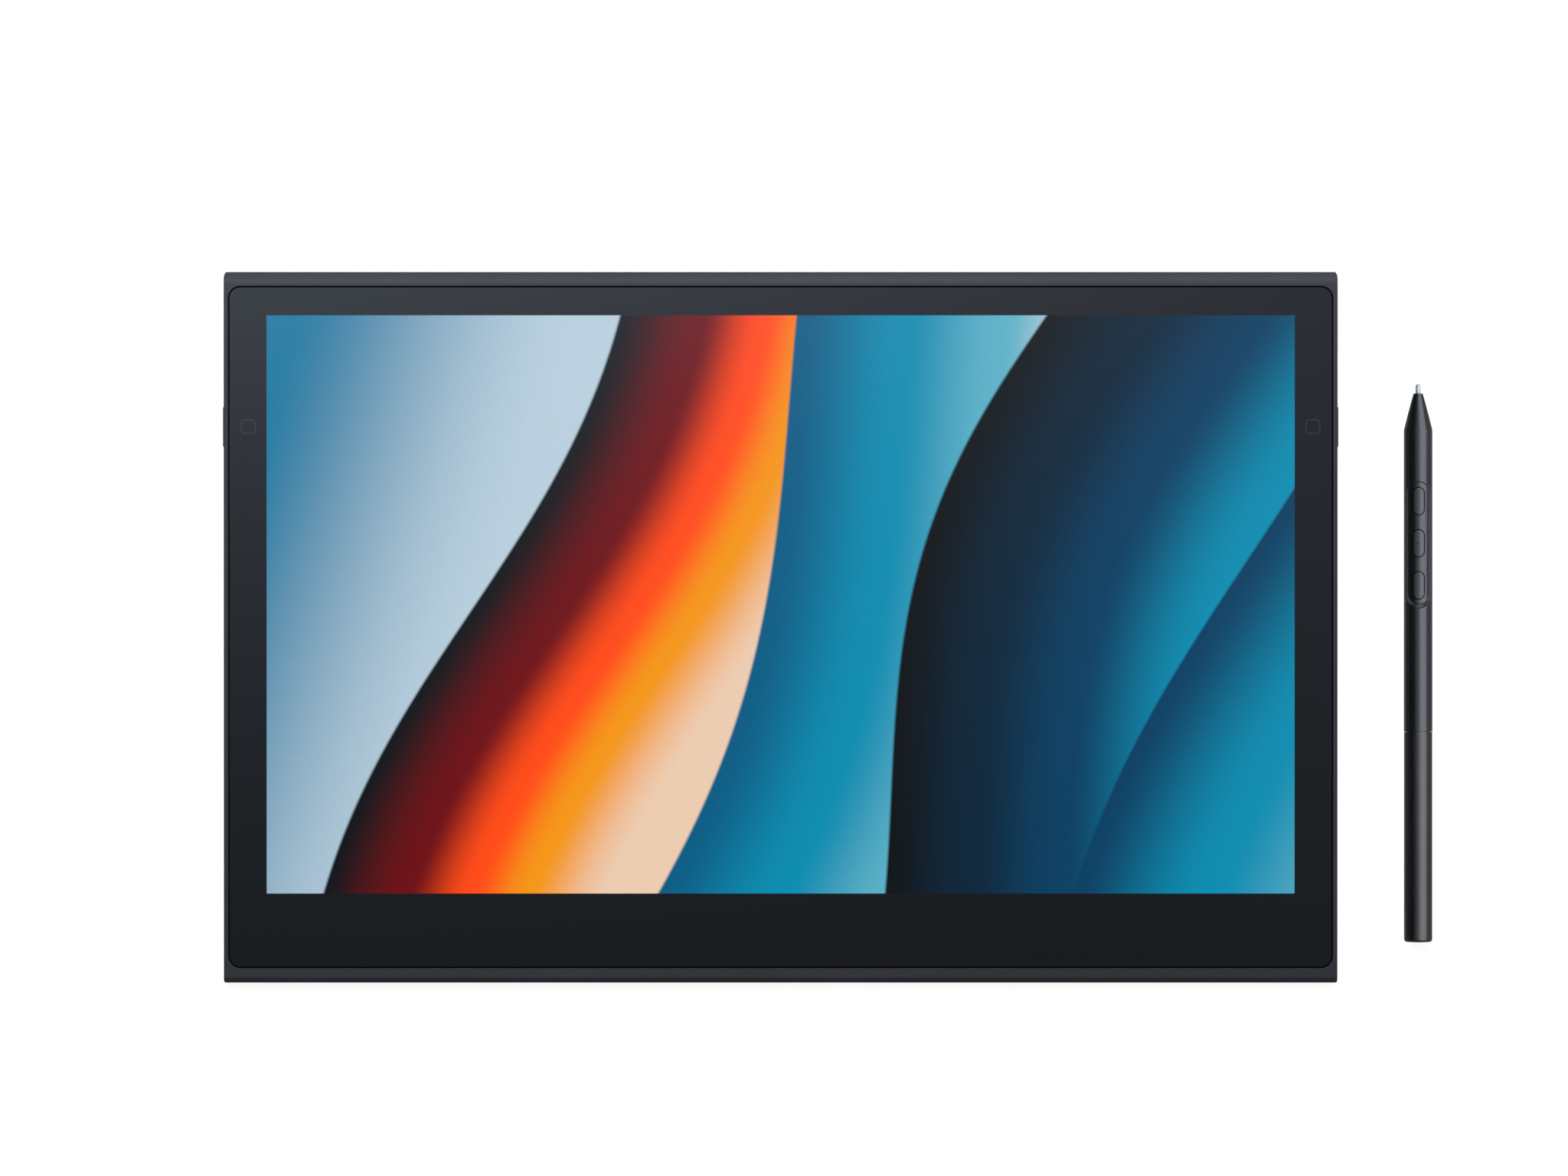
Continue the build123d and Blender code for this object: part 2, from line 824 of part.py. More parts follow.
def power_light_pipe():
    """Clear rod that brings the board's status light to the side of the case."""
    start = Plane(origin=(board_side, light_pipe_y, port_level), x_dir=(0, 1, 0), z_dir=(1, 0, 0))
    return extrude(start * Circle(light_pipe_radius), case_side - board_side)


def feet(foot_y, rear):
    """A pair of rubber feet, cut flat where they meet the table."""
    pair = []
    for side in (-1, 1):
        top = rear + foot_recess
        reach = foot_recess + foot_proud + overrun
        blank = Pos(side * foot_x, foot_y, top) * extrude(SlotOverall(foot_length, foot_width), -reach)
        foot = split(tablet_place * blank, bisect_by=Plane.XY, keep=Keep.TOP)
        sole = foot.faces().sort_by(Axis.Z)[0]
        pair.append(chamfer(sole.edges(), foot_chamfer))
    return Compound(pair)


# The pen is drawn along Z from its nib tip at 0, with its buttons facing +Y, then laid on the table


def rod(radius, start, end):
    """A round solid along the pen."""
    return Pos(0, 0, start) * extrude(Circle(radius), end - start)


def tube(outer, inner, start, end):
    """A hollow round solid along the pen."""
    return Pos(0, 0, start) * extrude(Circle(outer) - Circle(inner), end - start)


def capsule(length, width, middle, bottom, top):
    """A round-ended block that stands up from the pen's axis plane."""
    base = Plane(origin=(0, bottom, middle), x_dir=(0, 0, 1), z_dir=(0, 1, 0))
    return extrude(base * SlotOverall(length, width), top - bottom)


def pen_block(width, bottom, top, start, end):
    """A box inside the pen, between two heights and two places along it."""
    return Pos(0, (bottom + top) / 2, (start + end) / 2) * Box(width, top - bottom, end - start)


barrel_bore = pen_radius - barrel_wall
inner_radius = barrel_bore - inner_clearance
above_pen = pen_radius + overrun
capsule_middle = panel_start + capsule_length / 2
button_first = panel_start + button_front_margin + button_length / 2
panel_end = panel_start + capsule_length - crescent_depth
button_last = panel_end - button_rear_margin - button_length / 2
flange_top = capsule_floor + counterbore_depth - running_clearance
flange_bottom = flange_top - button_flange_thickness
pen_board_top = pen_board_floor + pen_board_thickness
stub_bottom = capsule_floor - inner_clearance
dome_top = stub_bottom - button_travel - press_margin
sensor_start = nib_holder_start + nib_holder_length + nib_travel + inner_clearance
sensor_end = sensor_start + sensor_length
board_start = sensor_end + cup_floor + inner_clearance
pen_board_end = board_start + pen_board_length
chassis_end = pen_board_end + inner_clearance + chassis_stop_length


def pen_nib():
    """Wear tip: a plain rod with a rounded end."""
    body = rod(nib_radius, nib_radius, nib_length)
    return body + Pos(0, 0, nib_radius) * Sphere(nib_radius)


def nib_holder():
    """Socket that grips the nib's rear end and presses on the sensor."""
    end = nib_holder_start + nib_holder_length
    holder = rod(nib_holder_radius, nib_holder_start, end)
    return holder - rod(nib_radius, nib_holder_start, nib_length)


def pen_nose_cone():
    """Tapered front shell with a collar that plugs into the barrel and a seat for the core."""
    bore = nib_radius + nib_bore_clearance
    seat_radius = ferrite_radius + running_clearance
    seat_end = ferrite_start + ferrite_seat_length
    collar = barrel_bore - running_clearance
    collar_inner = collar - cone_collar_wall
    collar_end = cone_end + cone_collar_length
    taper = SagittaArc((cone_tip_radius, cone_start), (pen_radius, cone_end), -cone_bulge)
    rest = Polyline(
        (pen_radius, cone_end),
        (collar, cone_end),
        (collar, collar_end),
        (collar_inner, collar_end),
        (collar_inner, seat_end),
        (seat_radius, seat_end),
        (seat_radius, ferrite_start),
        (bore, ferrite_start),
        (bore, cone_start),
        (cone_tip_radius, cone_start),
    )
    return revolve(Plane.XZ * make_face([taper, *rest.edges()]), Axis.Z)


def pen_front_barrel():
    """Front grip tube with the capsule recess that takes the button panel, its edge slightly rounded."""
    barrel = tube(pen_radius, barrel_bore, cone_end, barrel_seam_at)
    barrel -= capsule(capsule_length, capsule_width, capsule_middle, capsule_floor, above_pen)
    recess_edges = []
    for edge in barrel.edges():
        middle = edge @ 0.5
        on_skin = math.hypot(middle.X, middle.Y) > pen_radius - running_clearance
        if on_skin and middle.Y > capsule_floor:
            recess_edges.append(edge)
    return fillet(recess_edges, capsule_edge_radius)


def button_places():
    """Places of the three buttons, spread evenly along the panel."""
    pitch = (button_last - button_first) / (button_count - 1)
    return [button_first + step * pitch for step in range(button_count)]


def button_panel():
    """Inlay in the capsule recess, with an opening and a counterbore for each button."""
    length = capsule_length - 2 * capsule_gap - crescent_depth
    middle = capsule_middle - crescent_depth / 2
    width = capsule_width - 2 * capsule_gap
    panel = capsule(length, width, middle, capsule_floor, above_pen)
    panel &= rod(pen_radius - panel_sink, 0, pen_length)
    for place in button_places():
        panel -= capsule(button_length, button_width, place, capsule_floor, above_pen)
        reach = 2 * (button_flange_reach + counterbore_clearance)
        counterbore_top = capsule_floor + counterbore_depth
        panel -= capsule(
            button_length + reach, button_width + reach, place, capsule_floor, counterbore_top
        )
    return panel


def pen_button(place, dotted):
    """One button: rounded capsule, flange under the panel, and a stub over its switch."""
    length = button_length - 2 * button_gap
    width = button_width - 2 * button_gap
    crown = pen_radius + button_proud
    cap = capsule(length, width, place, flange_bottom, above_pen) & rod(crown, 0, pen_length)
    top = cap.faces().sort_by(Axis.Y)[-1]
    cap = fillet(top.edges(), button_edge_radius)
    reach = 2 * button_flange_reach
    cap += capsule(length + reach, width + reach, place, flange_bottom, flange_top)
    half_stub = button_stub_width / 2
    cap += pen_block(button_stub_width, stub_bottom, flange_bottom, place - half_stub, place + half_stub)
    if dotted:
        cap += Pos(0, crown + dot_height - dot_radius, place) * Sphere(dot_radius)
    return cap


def button_switches():
    """Three dome switches on the pen's board."""
    domes = []
    for place in button_places():
        base = Plane(origin=(0, pen_board_top, place), x_dir=(0, 0, 1), z_dir=(0, 1, 0))
        domes.append(extrude(base * Circle(dome_radius), dome_top - pen_board_top))
    return Compound(domes)


def pen_board():
    """Narrow board along the pen."""
    return pen_block(pen_board_width, pen_board_floor, pen_board_top, board_start, pen_board_end)


def pen_chassis():
    """Carrier in the barrel: a cup round the sensor, a trough under the board, two stops and a shelf."""
    cup_end = sensor_end + cup_floor
    chassis = tube(inner_radius, sensor_radius + running_clearance, sensor_start, sensor_end)
    chassis += rod(inner_radius, sensor_end, cup_end)
    trough = tube(inner_radius, inner_radius - chassis_wall, cup_end, chassis_end)
    lower_half = pen_block(2 * above_pen, -above_pen, pen_board_floor, cup_end, chassis_end)
    chassis += trough & lower_half
    stop = rod(inner_radius, pen_board_end + inner_clearance, chassis_end)
    block_start = panel_end + inner_clearance
    block = rod(inner_radius, block_start, block_start + chassis_block_length)
    passage = pen_block(
        pen_board_width + 2 * inner_clearance,
        pen_board_floor,
        pen_board_top + inner_clearance,
        block_start - overrun,
        block_start + chassis_block_length + overrun,
    )
    shelf = rod(inner_radius, button_last + dome_radius + inner_clearance, block_start + inner_clearance)
    shelf &= pen_block(
        2 * above_pen, pen_board_top + inner_clearance, capsule_floor - inner_clearance, 0, pen_length
    )
    return chassis + stop + (block - passage) + shelf


def ferrite_core():
    """Ferrite tube round the nib, seated in the nose cone."""
    return tube(ferrite_radius, ferrite_bore_radius, ferrite_start, ferrite_start + ferrite_length)


def pen_coil():
    """Copper winding on the core."""
    inner = ferrite_radius
    return tube(inner + coil_thickness, inner, coil_start, coil_start + coil_length)


def pen_coupling():
    """Sleeve fixed in the front barrel that the rear barrel slides over."""
    outer = barrel_bore - running_clearance
    sleeve = tube(outer, outer - coupling_wall, coupling_start, coupling_end)
    return sleeve + rod(outer, coupling_start, coupling_start + coupling_floor)


def spare_nib_places():
    """Centres of the spare nibs round the pen's axis."""
    return PolarLocations(spare_nib_circle_radius, spare_nib_count, start_angle=90)


def nib_store():
    """Plug on the sleeve's end with a bore for each spare nib."""
    end = coupling_end + nib_store_length
    store = rod(barrel_bore - nib_store_clearance, coupling_end, end)
    bore = rod(nib_radius + spare_nib_clearance, end - nib_store_bore_depth, end)
    for place in spare_nib_places():
        store -= place * bore
    return store


def spare_nibs():
    """Three spare nibs standing in their bores."""
    start = coupling_end + nib_store_length - nib_store_bore_depth
    nib = rod(nib_radius, start, start + spare_nib_length - nib_radius)
    nib += Pos(0, 0, start + spare_nib_length - nib_radius) * Sphere(nib_radius)
    return Compound([place * nib for place in spare_nib_places()])


def pen_rear_barrel():
    """Rear tube, closed by a shallow dome with a rounded edge."""
    outer = pen_radius - rear_barrel_inset
    start = barrel_seam_at + seam_gap
    end_radius = (outer**2 + tail_dome**2) / (2 * tail_dome)
    barrel = rod(outer, start, pen_length)
    barrel &= Pos(0, 0, pen_length - end_radius) * Sphere(end_radius)
    barrel = fillet(barrel.faces().sort_by(Axis.Z)[-1].edges(), tail_edge_radius)
    return barrel - rod(barrel_bore, start, pen_length - tail_wall)


def tablet_nodes():
    """Every sub-part of the tablet, in the tablet's own frame, apart from its feet."""
    port = usb_port()
    tongue = usb_tongue()
    key = side_button(key_length, key_proud, key_y)
    return {
        "rear_cover": rear_cover(),
        "cover_glass": cover_glass(),
        "glass_adhesive": glass_adhesive(),
        "optical_bond": optical_bond(),
        "display_panel": display_layer(panel_front, panel_rear),
        "panel_film": panel_film(),
        "panel_driver_board": panel_driver_board(),
        "display_flex": display_flex(),
        "digitizer_board": display_layer(panel_rear, digitizer_rear),
        "digitizer_flex": digitizer_flex(),
        "shield_plate": display_layer(digitizer_rear, web_front),
        "mid_frame": mid_frame(),
        "touch_key_pads": touch_key_pads(),
        "heat_spreader": heat_spreader(),
        "main_board": main_board(),
        "board_chips": board_chips(),
        "board_connectors": board_connectors(),
        "shield_can": shield_can(),
        "thermal_pad": thermal_pad(),
        "board_screws": board_screws(),
        "cover_screws": cover_screws(),
        "usb_port_right": port,
        "usb_port_left": mirror(port, about=Plane.YZ),
        "usb_tongues": both_sides(tongue),
        "side_key_right": key,
        "side_key_left": mirror(key, about=Plane.YZ),
        "power_button": side_button(power_length, 0, power_y),
        "side_switches": side_switches(),
        "power_light_pipe": power_light_pipe(),
    }


def pen_nodes():
    """Every sub-part of the pen, in the pen's own frame."""
    front, middle, rear = button_places()
    return {
        "pen_nib": pen_nib(),
        "nib_holder": nib_holder(),
        "pen_nose_cone": pen_nose_cone(),
        "ferrite_core": ferrite_core(),
        "pen_coil": pen_coil(),
        "pressure_sensor": rod(sensor_radius, sensor_start, sensor_end),
        "pen_chassis": pen_chassis(),
        "pen_board": pen_board(),
        "button_switches": button_switches(),
        "pen_front_barrel": pen_front_barrel(),
        "button_panel": button_panel(),
        "pen_button_front": pen_button(front, False),
        "pen_button_middle": pen_button(middle, True),
        "pen_button_rear": pen_button(rear, False),
        "pen_coupling": pen_coupling(),
        "nib_store": nib_store(),
        "spare_nibs": spare_nibs(),
        "pen_rear_barrel": pen_rear_barrel(),
    }


os.makedirs("parts", exist_ok=True)
nodes = {name: tablet_place * solid for name, solid in tablet_nodes().items()}
nodes["far_feet"] = feet(foot_far_y, bar_rear)
nodes["near_feet"] = feet(foot_near_y, plate_rear)
nodes.update({name: pen_place * solid for name, solid in pen_nodes().items()})
for name, solid in nodes.items():
    export_step(solid, f"parts/{name}.step")
print(len(nodes), "nodes, leaning", round(lean, 3), "degrees")
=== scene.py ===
import math

import bmesh
import bpy
import numpy as np
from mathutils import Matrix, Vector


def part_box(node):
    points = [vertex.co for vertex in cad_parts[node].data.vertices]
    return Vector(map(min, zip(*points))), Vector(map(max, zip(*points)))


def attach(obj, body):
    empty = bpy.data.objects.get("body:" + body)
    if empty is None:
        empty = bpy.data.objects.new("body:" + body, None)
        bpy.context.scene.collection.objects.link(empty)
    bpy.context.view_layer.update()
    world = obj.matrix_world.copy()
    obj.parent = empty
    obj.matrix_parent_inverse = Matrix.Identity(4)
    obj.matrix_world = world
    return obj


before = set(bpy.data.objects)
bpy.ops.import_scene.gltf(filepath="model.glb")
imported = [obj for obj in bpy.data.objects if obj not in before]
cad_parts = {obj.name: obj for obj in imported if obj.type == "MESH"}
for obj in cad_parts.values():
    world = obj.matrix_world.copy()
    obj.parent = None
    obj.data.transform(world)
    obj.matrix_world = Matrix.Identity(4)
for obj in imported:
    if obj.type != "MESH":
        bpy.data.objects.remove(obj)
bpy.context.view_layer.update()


# Rear cover. A shell milled from aluminium plate, bead-blasted and coated in a dark blue-grey.
# Its rim shows as a narrow frame round the glass, and its back carries the four feet.
millimetre = 0.001


def srgb(red, green, blue):
    """A colour as a screen shows it, 0 to 255, turned into the linear values that shaders take.

    The standard curve: a straight line near black, and a power of 2.4 above it.
    """
    shown = np.array([red, green, blue]) / 255
    linear = np.where(shown <= 0.04045, shown / 12.92, ((shown + 0.055) / 1.055) ** 2.4)
    return (*[float(value) for value in linear], 1.0)


def feed(tree, socket, value):
    """Feeds a socket with a link from another socket, or sets it to a plain value."""
    if isinstance(value, bpy.types.NodeSocket):
        tree.links.new(value, socket)
    else:
        socket.default_value = value


def colour_mix(tree, share, first, second, blend="MIX"):
    """Two colours mixed by a share. The node takes them at sockets 6 and 7 and gives the mix at output 2."""
    node = tree.nodes.new("ShaderNodeMix")
    node.data_type = "RGBA"
    node.blend_type = blend
    feed(tree, node.inputs["Factor"], share)
    feed(tree, node.inputs[6], first)
    feed(tree, node.inputs[7], second)
    return node.outputs[2]


class Finish:
    """One surface finish: a Principled shader and the nodes that feed it, read from Object coordinates."""

    def __init__(self, name, colour, roughness, metallic=0.0):
        self.material = bpy.data.materials.new(name)
        self.material.use_nodes = True
        self.tree = self.material.node_tree
        self.shader = self.tree.nodes["Principled BSDF"]
        self.place = self.tree.nodes.new("ShaderNodeTexCoord").outputs["Object"]
        self.give(Base_Color=colour, Roughness=roughness, Metallic=metallic)

    def give(self, **values):
        """Feeds the shader's own sockets, each named with underscores for its spaces."""
        for name, value in values.items():
            feed(self.tree, self.shader.inputs[name.replace("_", " ")], value)
        return self

    def math(self, operation, *values):
        """One arithmetic step on sockets or plain numbers."""
        node = self.tree.nodes.new("ShaderNodeMath")
        node.operation = operation
        for socket, value in zip(node.inputs, values):
            feed(self.tree, socket, value)
        return node.outputs[0]

    def moved(self, centre=(0, 0, 0), stretch=(1, 1, 1)):
        """Object coordinates measured from a centre, in metres, each axis stretched."""
        node = self.tree.nodes.new("ShaderNodeMapping")
        node.vector_type = "POINT"
        node.inputs["Location"].default_value = [-middle * scale for middle, scale in zip(centre, stretch)]
        node.inputs["Scale"].default_value = stretch
        feed(self.tree, node.inputs["Vector"], self.place)
        return node.outputs[0]

    def axes(self, vector):
        """The three coordinates of a vector, one socket each."""
        node = self.tree.nodes.new("ShaderNodeSeparateXYZ")
        feed(self.tree, node.inputs[0], vector)
        return tuple(node.outputs)

    def noise(self, size, detail=2.0, stretch=(1, 1, 1)):
        """Noise from 0 to 1, mostly near a half, whose grains are about one size across, in metres."""
        node = self.tree.nodes.new("ShaderNodeTexNoise")
        node.inputs["Scale"].default_value = 1 / size
        node.inputs["Detail"].default_value = detail
        feed(self.tree, node.inputs["Vector"], self.moved(stretch=stretch))
        return node.outputs["Fac"]

    def cells(self, size):
        """Distance to the nearest of many scattered points, in cells about one size across."""
        node = self.tree.nodes.new("ShaderNodeTexVoronoi")
        node.inputs["Scale"].default_value = 1 / size
        feed(self.tree, node.inputs["Vector"], self.place)
        return node.outputs["Distance"]

    def between(self, share, first, second):
        """A mix of two colours, each a socket or a plain colour."""
        return colour_mix(self.tree, share, first, second)

    def spread(self, value, low, high, start=0.0, end=1.0, smooth=False):
        """A value between two bounds carried to another range, clamped, and eased at the ends if smooth."""
        node = self.tree.nodes.new("ShaderNodeMapRange")
        node.interpolation_type = "SMOOTHSTEP" if smooth else "LINEAR"
        feed(self.tree, node.inputs["Value"], value)
        for name, bound in (("From Min", low), ("From Max", high), ("To Min", start), ("To Max", end)):
            node.inputs[name].default_value = bound
        return node.outputs[0]

    def relief(self, height, depth):
        """Bump of a real depth in metres from a height that runs from 0 to 1."""
        node = self.tree.nodes.new("ShaderNodeBump")
        node.inputs["Strength"].default_value = 1.0
        node.inputs["Distance"].default_value = depth
        feed(self.tree, node.inputs["Height"], height)
        return self.give(Normal=node.outputs[0])

    def tint(self, share, first, second):
        """Base colour mixed from two colours by a share."""
        return self.give(Base_Color=self.between(share, first, second))

    def sheen_range(self, value, smooth, rough):
        """Roughness carried between two values by the middle part of a noise."""
        return self.give(Roughness=self.spread(value, low=0.3, high=0.7, start=smooth, end=rough))

    def onto(self, *node_names):
        """Gives the finish to CAD nodes."""
        for name in node_names:
            for material_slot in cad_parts[name].material_slots:
                material_slot.material = self.material
        return self


def coated_metal(name, dark, light, gloss):
    """Coated, bead-blasted metal: fine round grains, a slow drift of tint, a slightly uneven sheen."""
    smooth, rough = 0.51, 0.59
    cool_gleam = (0.8, 0.88, 1.0, 1.0)
    finish = Finish(name, light, roughness=rough)
    drift = finish.spread(finish.noise(size=60 * millimetre, detail=3.0), low=0.35, high=0.65)
    finish.tint(drift, dark, light)
    finish.sheen_range(finish.noise(size=1.5 * millimetre, detail=4.0), smooth, rough)
    finish.relief(finish.cells(size=0.22 * millimetre), depth=0.006 * millimetre)
    return finish.give(Specular_IOR_Level=gloss, Specular_Tint=cool_gleam)


coated_metal("dark_coated_metal", dark=srgb(47, 48, 53), light=srgb(51, 52, 58), gloss=0.3).onto("rear_cover")


# Cover glass. Flat aluminosilicate glass, etched to a satin front and coated against glare.
# A black border is printed on its back, with two faint touch-key outlines beside the lit screen.
glass_low, glass_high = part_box("cover_glass")
side_border = 10.65 * millimetre
far_border = 8.0 * millimetre
near_border = 21.0 * millimetre
screen_half_width = (glass_high.x - glass_low.x) / 2 - side_border
screen_half_depth = (glass_high.y - glass_low.y - far_border - near_border) / 2
screen_middle = (
    (glass_low.x + glass_high.x) / 2,
    (glass_low.y + glass_high.y + near_border - far_border) / 2,
    0,
)
touch_key_half = 1.98 * millimetre
touch_key_radius = 1.1 * millimetre
touch_key_line = 0.36 * millimetre
touch_key_inset = 0.1 * millimetre
touch_key_from_far_edge = 39.85 * millimetre
touch_key_x = screen_half_width + side_border / 2 - touch_key_inset
touch_key_y = glass_high.y - touch_key_from_far_edge - screen_middle[1]


def rounded_square(finish, x, y, half, radius):
    """Signed distance to a rounded square: how far (|x|, |y|) lies past the inner square, less the radius."""
    inner = half - radius
    past = [
        finish.math("MAXIMUM", finish.math("SUBTRACT", finish.math("ABSOLUTE", axis), inner), 0.0)
        for axis in (x, y)
    ]
    squares = [finish.math("MULTIPLY", distance, distance) for distance in past]
    return finish.math("SUBTRACT", finish.math("SQRT", finish.math("ADD", *squares)), radius)


def ribbon(finish, under, across, along, place, sway, waves, turn, width, stops):
    """One soft ribbon laid over a picture.

    Its edge lies where across = place + sway * sin(waves * along + turn). From that edge the colour runs
    through the stops over its width, and what lies before the edge keeps the picture under it.
    """
    edge_blur = 0.004
    wave = finish.math("SINE", finish.math("MULTIPLY_ADD", along, waves, turn))
    past = finish.math("SUBTRACT", across, finish.math("MULTIPLY_ADD", wave, sway, place))
    ramp = finish.tree.nodes.new("ShaderNodeValToRGB")
    ramp.color_ramp.interpolation = "EASE"
    while len(ramp.color_ramp.elements) < len(stops):
        ramp.color_ramp.elements.new(1.0)
    for element, (share, colour) in zip(ramp.color_ramp.elements, stops):
        element.position = share
        element.color = colour
    feed(finish.tree, ramp.inputs["Fac"], finish.spread(past, low=0.0, high=width))
    edge = finish.spread(past, low=-edge_blur, high=edge_blur, smooth=True)
    return finish.between(edge, under, ramp.outputs["Color"])


def screen_picture(finish):
    """The lit picture: soft folds that hang from top to bottom, cool, with one warm fold left of the middle.

    Places run from -1 to 1 across the screen, along axes that lean by a third.
    """
    slant = 0.34
    black, night, navy = srgb(8, 13, 16), srgb(4, 36, 56), srgb(0, 62, 98)
    blue, lagoon, teal = srgb(0, 92, 132), srgb(0, 118, 158), srgb(0, 140, 176)
    mist, haze, pale = srgb(92, 176, 198), srgb(96, 178, 200), srgb(184, 206, 220)
    wine, orange, amber, sand = srgb(110, 4, 8), srgb(255, 74, 10), srgb(244, 150, 10), srgb(236, 204, 176)
    x, y, _ = finish.axes(finish.moved(screen_middle))
    u = finish.math("DIVIDE", x, screen_half_width)
    v = finish.math("DIVIDE", y, screen_half_width)
    across = finish.math("MULTIPLY_ADD", v, -slant, u)
    along = finish.math("MULTIPLY_ADD", u, slant, v)
    picture = finish.between(finish.spread(across, low=-1.15, high=-0.55, smooth=True), lagoon, pale)
    picture = ribbon(
        finish, picture, across, along, place=-0.60, sway=0.10, waves=2.7, turn=0.6, width=0.56,
        stops=[(0.0, black), (0.3, wine), (0.52, orange), (0.72, amber), (1.0, sand)],
    )
    picture = ribbon(
        finish, picture, across, along, place=-0.12, sway=0.11, waves=2.3, turn=2.2, width=0.58,
        stops=[(0.0, blue), (0.4, teal), (0.75, mist), (1.0, pale)],
    )
    picture = ribbon(
        finish, picture, across, along, place=0.34, sway=0.10, waves=2.9, turn=4.0, width=0.62,
        stops=[(0.0, black), (0.28, night), (0.6, navy), (1.0, teal)],
    )
    picture = ribbon(
        finish, picture, across, along, place=0.88, sway=0.12, waves=2.2, turn=5.4, width=0.55,
        stops=[(0.0, navy), (0.5, teal), (1.0, haze)],
    )
    return picture, x, y


def etched_glass():
    """Printed black glass whose clear window glows with the picture, under a fine etched grain.

    The window is where |x| and |y| both lie within the screen's half sizes. The touch-key outlines are where
    the distance to a rounded square is less than half a line, on both sides of the screen alike.
    """
    window_edge = 0.04 * millimetre
    unlit, under_window = (0.0, 0.0, 0.0, 1.0), srgb(3, 3, 4)
    print_black, outline_grey = srgb(12, 13, 16), srgb(41, 44, 50)
    border_roughness, window_roughness = 0.4, 0.3
    coating_gleam = (0.72, 0.83, 1.0, 1.0)
    finish = Finish("etched_cover_glass", print_black, border_roughness)
    picture, x, y = screen_picture(finish)
    beside = finish.math("SUBTRACT", finish.math("ABSOLUTE", x), screen_half_width)
    beyond = finish.math("SUBTRACT", finish.math("ABSOLUTE", y), screen_half_depth)
    window = finish.spread(finish.math("MAXIMUM", beside, beyond), low=window_edge, high=-window_edge)
    key_x = finish.math("SUBTRACT", finish.math("ABSOLUTE", x), touch_key_x)
    key_y = finish.math("SUBTRACT", y, touch_key_y)
    outline = finish.math("ABSOLUTE", rounded_square(finish, key_x, key_y, touch_key_half, touch_key_radius))
    printed = finish.spread(outline, low=0.6 * touch_key_line, high=0.4 * touch_key_line)
    grain = finish.noise(size=0.35 * millimetre, detail=1.0)
    sparkle = finish.spread(grain, low=0.2, high=0.8, start=0.96, end=1.04)
    lit = finish.between(window, unlit, picture)
    finish.give(
        Emission_Color=colour_mix(finish.tree, 1.0, lit, sparkle, blend="MULTIPLY"),
        Emission_Strength=1.0,
        Base_Color=finish.between(window, finish.between(printed, print_black, outline_grey), under_window),
        Roughness=finish.spread(window, low=0.0, high=1.0, start=border_roughness, end=window_roughness),
        Specular_IOR_Level=0.45,
        Specular_Tint=coating_gleam,
    )
    return finish.relief(finish.noise(size=0.12 * millimetre), depth=0.001 * millimetre)


etched_glass().onto("cover_glass")


# Display panel. Two sheets of glass with the liquid crystal between them, lit from its own back layer.
# It shows the same picture, so it looks right when the cover glass is taken off.
panel = Finish("display_panel_glass", srgb(10, 11, 12), roughness=0.25)
panel.give(Emission_Color=screen_picture(panel)[0], Emission_Strength=0.9)
panel.relief(panel.noise(size=0.3 * millimetre, detail=1.0), depth=0.001 * millimetre).onto("display_panel")


# Glass adhesive and optical bond. A die-cut black foam tape holds the glass to the frame.
# A clear silicone layer fills the space between glass and display.
foam = Finish("black_foam_tape", srgb(20, 20, 21), roughness=0.9)
foam.tint(foam.noise(size=2 * millimetre), srgb(16, 16, 17), srgb(26, 26, 27))
foam.relief(foam.cells(size=0.3 * millimetre), depth=0.05 * millimetre).onto("glass_adhesive")
silicone = Finish("clear_silicone", srgb(232, 236, 236), roughness=0.08)
silicone.give(Transmission_Weight=1.0, IOR=1.41)
silicone.relief(silicone.noise(size=12 * millimetre), depth=0.004 * millimetre).onto("optical_bond")


# Boards. Glass-fibre laminate under solder mask, with copper tracks that show as paler lines.
# The digitizer behind the display is a dark blue board crossed by its grid of pick-up loops.


def circuit_board(name, mask, track, pitch, stretch):
    """Solder mask with tracks: stripes bent by stepped noise, broken into runs, and round vias on cells."""
    bend_step = 0.12
    bend_reach = 12 * millimetre
    finish = Finish(name, mask, roughness=0.35)
    bend = finish.math("SNAP", finish.noise(size=6 * millimetre, detail=0.0), bend_step)
    x, y, _ = finish.axes(finish.moved(stretch=stretch))
    bent = finish.math("MULTIPLY_ADD", bend, bend_reach, finish.math("ADD", x, y))
    stripe = finish.math("SINE", finish.math("MULTIPLY", bent, 2 * math.pi / pitch))
    runs = finish.spread(finish.noise(size=9 * millimetre, detail=1.0), low=0.46, high=0.54)
    tracks = finish.math("MULTIPLY", finish.spread(stripe, low=0.2, high=0.6), runs)
    vias = finish.spread(finish.cells(size=3.2 * millimetre), low=0.1, high=0.06)
    raised = finish.math("MAXIMUM", tracks, vias)
    return finish.tint(raised, mask, track).relief(raised, depth=0.03 * millimetre)


circuit_board(
    "green_circuit_board", mask=srgb(16, 84, 52), track=srgb(60, 140, 84),
    pitch=0.5 * millimetre, stretch=(1, 0.2, 1),
).onto("main_board", "panel_driver_board")
circuit_board(
    "black_circuit_board", mask=srgb(12, 13, 14), track=srgb(30, 31, 33),
    pitch=0.4 * millimetre, stretch=(1, 0.2, 1),
).onto("pen_board")
circuit_board(
    "blue_sensor_board", mask=srgb(14, 40, 74), track=srgb(120, 96, 52),
    pitch=2.5 * millimetre, stretch=(1, 0, 1),
).onto("digitizer_board")


# Shield plate, shield can and heat spreader. Rolled foil behind the digitizer, a tinned lid over the chips,
# and a graphite sheet that carries the heat away from them.


